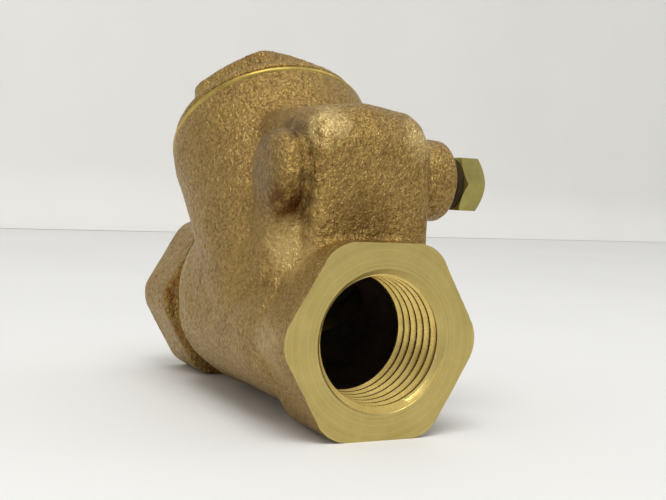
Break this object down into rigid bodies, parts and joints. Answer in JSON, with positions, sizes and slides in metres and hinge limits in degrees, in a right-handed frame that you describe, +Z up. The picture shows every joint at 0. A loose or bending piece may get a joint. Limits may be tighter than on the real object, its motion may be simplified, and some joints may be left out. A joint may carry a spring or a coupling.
{
  "type": "swing check valve",
  "caption": "Y-pattern bronze swing check valve with hexagonal threaded pipe ends, a screwed cap and a side plug over the hinge pin.",
  "frame": {"origin": "middle of the flat under the inlet's hexagon, which the valve rests on", "axes": "+X along the pipe, the way the water flows; +Z up, through the top flats of both hexagons; the hinge pin lies along Y with its plug on -Y"},
  "size_m": [0.066, 0.0401, 0.0599],
  "materials": {
    "cast_bronze": "sand-cast, tumbled, dull tan brown",
    "machined_bronze": "turned faces and cut threads, yellow",
    "bronze_trim": "machined bronze, satin",
    "turned_brass": "turned bar, slightly dulled",
    "seat_rubber": "moulded black nitrile rubber",
    "dark_fibre": "dark pressed fibre"
  },
  "bodies": {
    "valve": {"body": "cast_bronze"},
    "cap": {"bonnet_cap": "cast_bronze"},
    "plug": {"hinge_pin_plug": "turned_brass", "plug_washer": "dark_fibre"},
    "pin": {"hinge_pin": "turned_brass"},
    "hanger": {"disc_hanger": "bronze_trim"},
    "disc": {"disc_holder": "bronze_trim", "seat_disc": "seat_rubber", "seat_disc_washer": "turned_brass", "seat_disc_nut": "turned_brass", "hanger_washer": "turned_brass", "hanger_nut": "turned_brass"}
  },
  "joints": [
    {"name": "disc_swing", "type": "hinge", "parent": "valve", "child": "hanger", "pos_m": [0.007, 0, 0.0377], "axis": [0, -1, 0], "range_deg": [0, 48]},
    {"name": "disc_spin", "type": "hinge", "parent": "hanger", "child": "disc", "pos_m": [0.0131, 0, 0.0143], "axis": [0.6428, 0, 0.766], "continuous": true},
    {"name": "pin_spin", "type": "hinge", "parent": "valve", "child": "pin", "pos_m": [0.007, 0, 0.0377], "axis": [0, 1, 0], "continuous": true},
    {"name": "cap_lift", "type": "slide", "parent": "valve", "child": "cap", "axis": [0.6428, 0, 0.766], "range_m": [0, 0.012]},
    {"name": "plug_draw", "type": "slide", "parent": "valve", "child": "plug", "axis": [0, -1, 0], "range_m": [0, 0.008]}
  ]
}
